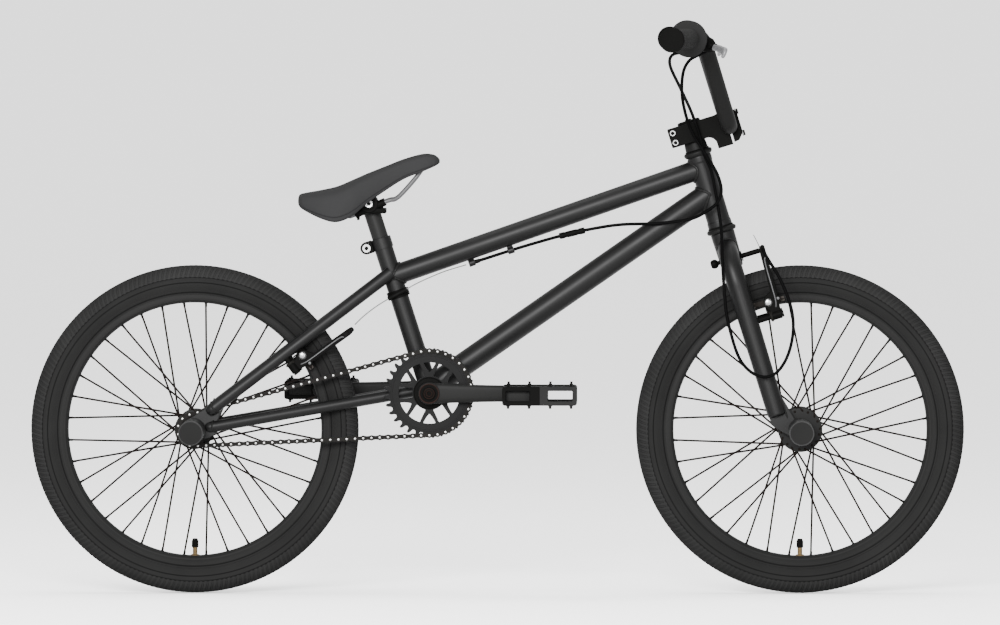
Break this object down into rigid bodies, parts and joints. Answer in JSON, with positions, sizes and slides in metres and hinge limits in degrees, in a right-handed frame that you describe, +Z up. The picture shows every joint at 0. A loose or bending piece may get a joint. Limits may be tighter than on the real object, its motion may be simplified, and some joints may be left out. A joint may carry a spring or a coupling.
{
  "type": "bmx bike",
  "caption": "Compact pedal bicycle with small wheels, high-rise handlebar, rim brakes, axle pegs, turning cranks and a steering fork; the saddle slides and tilts.",
  "frame": {"origin": "centre of the bounding box on the ground, under the middle of the wheelbase", "axes": "+X forward along the direction of travel, +Y to the rider's left, +Z up"},
  "size_m": [1.4368, 0.7172, 0.8808],
  "materials": {
    "frame_paint": "matte",
    "tyre_rubber": "matte",
    "grip_rubber": "matte",
    "rim_black": "satin",
    "peg_paint": "matte",
    "bright_steel": "polished",
    "chain_steel": "satin",
    "valve_brass": "satin",
    "saddle_vinyl": "matte",
    "pedal_plastic": "matte",
    "pad_rubber": "matte",
    "cable_housing": "gloss",
    "post_black": "satin",
    "axle_steel": "satin",
    "black_metal": "satin"
  },
  "bodies": {
    "frame": {"frame": "frame_paint", "upper_headset_cup": "black_metal", "lower_headset_cup": "black_metal", "bottom_bracket_cup_left": "black_metal", "bottom_bracket_cup_right": "black_metal", "seat_clamp": "black_metal", "seat_tube_cable_ring": "black_metal", "chain": "chain_steel", "rear_axle": "axle_steel", "rear_peg_right": "peg_paint", "rear_peg_left": "peg_paint", "rear_brake_cable": "cable_housing", "rear_brake_wire": "cable_housing", "cable_coupling": "black_metal"},
    "steering": {"fork": "frame_paint", "headset_spacer": "black_metal", "stem": "black_metal", "stem_faceplate": "black_metal", "stem_top_cap": "black_metal", "handlebar": "frame_paint", "grip_right": "grip_rubber", "grip_left": "grip_rubber", "brake_perch_right": "black_metal", "brake_perch_left": "black_metal", "front_axle": "axle_steel", "front_peg_right": "peg_paint", "front_peg_left": "peg_paint", "front_brake_cable": "cable_housing", "crown_bolt": "black_metal"},
    "front_wheel": {"front_tyre": "tyre_rubber", "front_rim": "rim_black", "front_hub": "black_metal", "front_valve": "valve_brass"},
    "rear_wheel": {"rear_tyre": "tyre_rubber", "rear_rim": "rim_black", "rear_hub": "black_metal", "rear_valve": "valve_brass"},
    "driven_cog": {"rear_cog": "chain_steel"},
    "crankset": {"crank_spindle": "black_metal", "crank_arm_right": "black_metal", "crank_arm_left": "black_metal", "chainring": "black_metal", "pedal_axle_right": "black_metal", "pedal_axle_left": "black_metal"},
    "right_pedal": {"pedal_right": "pedal_plastic"},
    "left_pedal": {"pedal_left": "pedal_plastic"},
    "right_lever": {"brake_lever_right": "bright_steel"},
    "left_lever": {"brake_lever_left": "bright_steel"},
    "front_right_brake": {"front_brake_arm_right": "black_metal", "front_brake_pad_right": "pad_rubber"},
    "front_left_brake": {"front_brake_arm_left": "black_metal", "front_brake_pad_left": "pad_rubber"},
    "rear_right_brake": {"rear_brake_arm_right": "black_metal", "rear_brake_pad_right": "pad_rubber"},
    "rear_left_brake": {"rear_brake_arm_left": "black_metal", "rear_brake_pad_left": "pad_rubber"},
    "seat_post": {"seat_post": "post_black"},
    "saddle": {"seat_rail_clamp": "black_metal", "saddle_rails": "bright_steel", "saddle": "saddle_vinyl"}
  },
  "joints": [
    {"name": "steering", "type": "hinge", "parent": "frame", "child": "steering", "pos_m": [0.32651, 0, 0.61836], "axis": [-0.2924, 0, 0.9563], "range_deg": [-60, 60], "deforming": ["rear_brake_cable"]},
    {"name": "front_wheel_spin", "type": "hinge", "parent": "steering", "child": "front_wheel", "pos_m": [0.4654, 0, 0.253], "axis": [0, 1, 0], "continuous": true},
    {"name": "rear_wheel_spin", "type": "hinge", "parent": "frame", "child": "rear_wheel", "pos_m": [-0.4654, 0, 0.253], "axis": [0, 1, 0], "continuous": true},
    {"name": "crank_spin", "type": "hinge", "parent": "frame", "child": "crankset", "pos_m": [-0.1038, 0, 0.31], "axis": [0, 1, 0], "continuous": true},
    {"name": "cog_spin", "type": "hinge", "parent": "frame", "child": "driven_cog", "pos_m": [-0.4654, 0, 0.253], "axis": [0, 1, 0], "continuous": true},
    {"name": "right_pedal_spin", "type": "hinge", "parent": "crankset", "child": "right_pedal", "pos_m": [0.0662, 0, 0.31], "axis": [0, 1, 0], "continuous": true},
    {"name": "left_pedal_spin", "type": "hinge", "parent": "crankset", "child": "left_pedal", "pos_m": [-0.2738, 0, 0.31], "axis": [0, 1, 0], "continuous": true},
    {"name": "right_lever_pull", "type": "hinge", "parent": "steering", "child": "right_lever", "pos_m": [0.32882, -0.21622, 0.84176], "axis": [-0.3408, 0.0841, -0.9364], "range_deg": [0, 14], "stiffness_Nm_per_rad": 1, "springref_deg": -8.59},
    {"name": "left_lever_pull", "type": "hinge", "parent": "steering", "child": "left_lever", "pos_m": [0.32882, 0.21622, 0.84176], "axis": [0.3408, 0.0841, 0.9364], "range_deg": [0, 14], "stiffness_Nm_per_rad": 1, "springref_deg": -8.59},
    {"name": "front_right_brake_close", "type": "hinge", "parent": "steering", "child": "front_right_brake", "pos_m": [0.42807, -0.0455, 0.42981], "axis": [-0.9563, 0, -0.2924], "range_deg": [0, 4], "stiffness_Nm_per_rad": 1, "springref_deg": -2.86},
    {"name": "front_left_brake_close", "type": "hinge", "parent": "steering", "child": "front_left_brake", "pos_m": [0.42807, 0.0455, 0.42981], "axis": [0.9563, 0, 0.2924], "range_deg": [0, 4], "stiffness_Nm_per_rad": 1, "springref_deg": -2.86},
    {"name": "rear_right_brake_close", "type": "hinge", "parent": "frame", "child": "rear_right_brake", "pos_m": [-0.31259, -0.0455, 0.34946], "axis": [-0.6065, 0, 0.7951], "range_deg": [0, 4], "stiffness_Nm_per_rad": 1, "springref_deg": -2.86},
    {"name": "rear_left_brake_close", "type": "hinge", "parent": "frame", "child": "rear_left_brake", "pos_m": [-0.31259, 0.0455, 0.34946], "axis": [0.6065, 0, -0.7951], "range_deg": [0, 4], "stiffness_Nm_per_rad": 1, "springref_deg": -2.86},
    {"name": "seat_height", "type": "slide", "parent": "frame", "child": "seat_post", "axis": [-0.3063, 0, 0.9519], "range_m": [-0.035, 0.05]},
    {"name": "saddle_tilt", "type": "hinge", "parent": "seat_post", "child": "saddle", "pos_m": [-0.19714, 0, 0.6001], "axis": [0, 1, 0], "range_deg": [-10, 10]}
  ],
  "couplings": [
    {"joint": "cog_spin", "follows": "crank_spin", "ratio": 2.6667},
    {"joint": "front_right_brake_close", "follows": "left_lever_pull", "ratio": 0.28571},
    {"joint": "front_left_brake_close", "follows": "left_lever_pull", "ratio": 0.28571},
    {"joint": "rear_right_brake_close", "follows": "right_lever_pull", "ratio": 0.28571},
    {"joint": "rear_left_brake_close", "follows": "right_lever_pull", "ratio": 0.28571}
  ]
}
